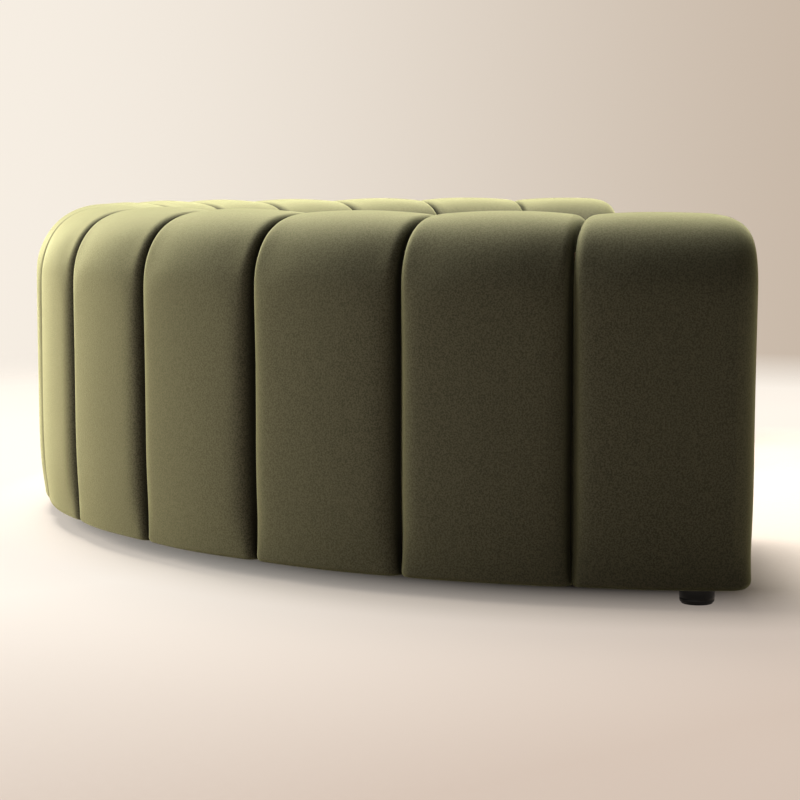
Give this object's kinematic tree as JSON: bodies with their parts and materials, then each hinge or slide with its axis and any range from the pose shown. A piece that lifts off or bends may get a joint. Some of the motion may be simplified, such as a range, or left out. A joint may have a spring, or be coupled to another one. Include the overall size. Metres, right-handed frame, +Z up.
{
  "type": "curved sofa",
  "caption": "Half-round low sofa with a channelled back and seat in velvet over a ribbed plywood frame, on low round feet.",
  "frame": {"origin": "on the floor, at the middle of the overall width and depth", "axes": "+X along the width from one free end to the other, +Y towards the middle of the curved back, +Z up"},
  "size_m": [3, 1.5, 0.71],
  "materials": {
    "velvet": "short-pile olive velvet with a soft sheen",
    "foam": "open-cell foam",
    "plywood": "sanded",
    "hardboard": "bare",
    "webbing": "woven",
    "decking": "felt",
    "dust_cloth": "thin non-woven",
    "foot_plastic": "satin black",
    "steel": "zinc plated"
  },
  "bodies": {
    "root": {"back_channel_01": "velvet", "back_channel_02": "velvet", "back_channel_03": "velvet", "back_channel_04": "velvet", "back_channel_05": "velvet", "back_channel_06": "velvet", "back_channel_07": "velvet", "back_channel_08": "velvet", "back_channel_09": "velvet", "back_channel_10": "velvet", "back_channel_11": "velvet", "back_channel_12": "velvet", "back_channel_13": "velvet", "back_channel_14": "velvet", "seat_channel_01": "velvet", "seat_channel_02": "velvet", "seat_channel_03": "velvet", "seat_channel_04": "velvet", "seat_channel_05": "velvet", "seat_channel_06": "velvet", "seat_channel_07": "velvet", "seat_channel_08": "velvet", "seat_channel_09": "velvet", "seat_channel_10": "velvet", "seat_channel_11": "velvet", "seat_channel_12": "velvet", "seat_channel_13": "velvet", "seat_channel_14": "velvet", "back_foam": "foam", "seat_foam": "foam", "seam_ribs": "plywood", "end_panels": "plywood", "bottom_rail_outer": "plywood", "bottom_rail_middle": "plywood", "bottom_rail_front": "plywood", "seat_rail_front": "plywood", "seat_rail_back": "plywood", "top_board": "plywood", "outside_back_boards": "hardboard", "inside_back_boards": "hardboard", "seat_front_boards": "hardboard", "webbing_across": "webbing", "webbing_front_to_back": "webbing", "deck_cloth": "decking", "dust_cover": "dust_cloth", "feet": "foot_plastic", "foot_studs": "steel"}
  },
  "joints": []
}
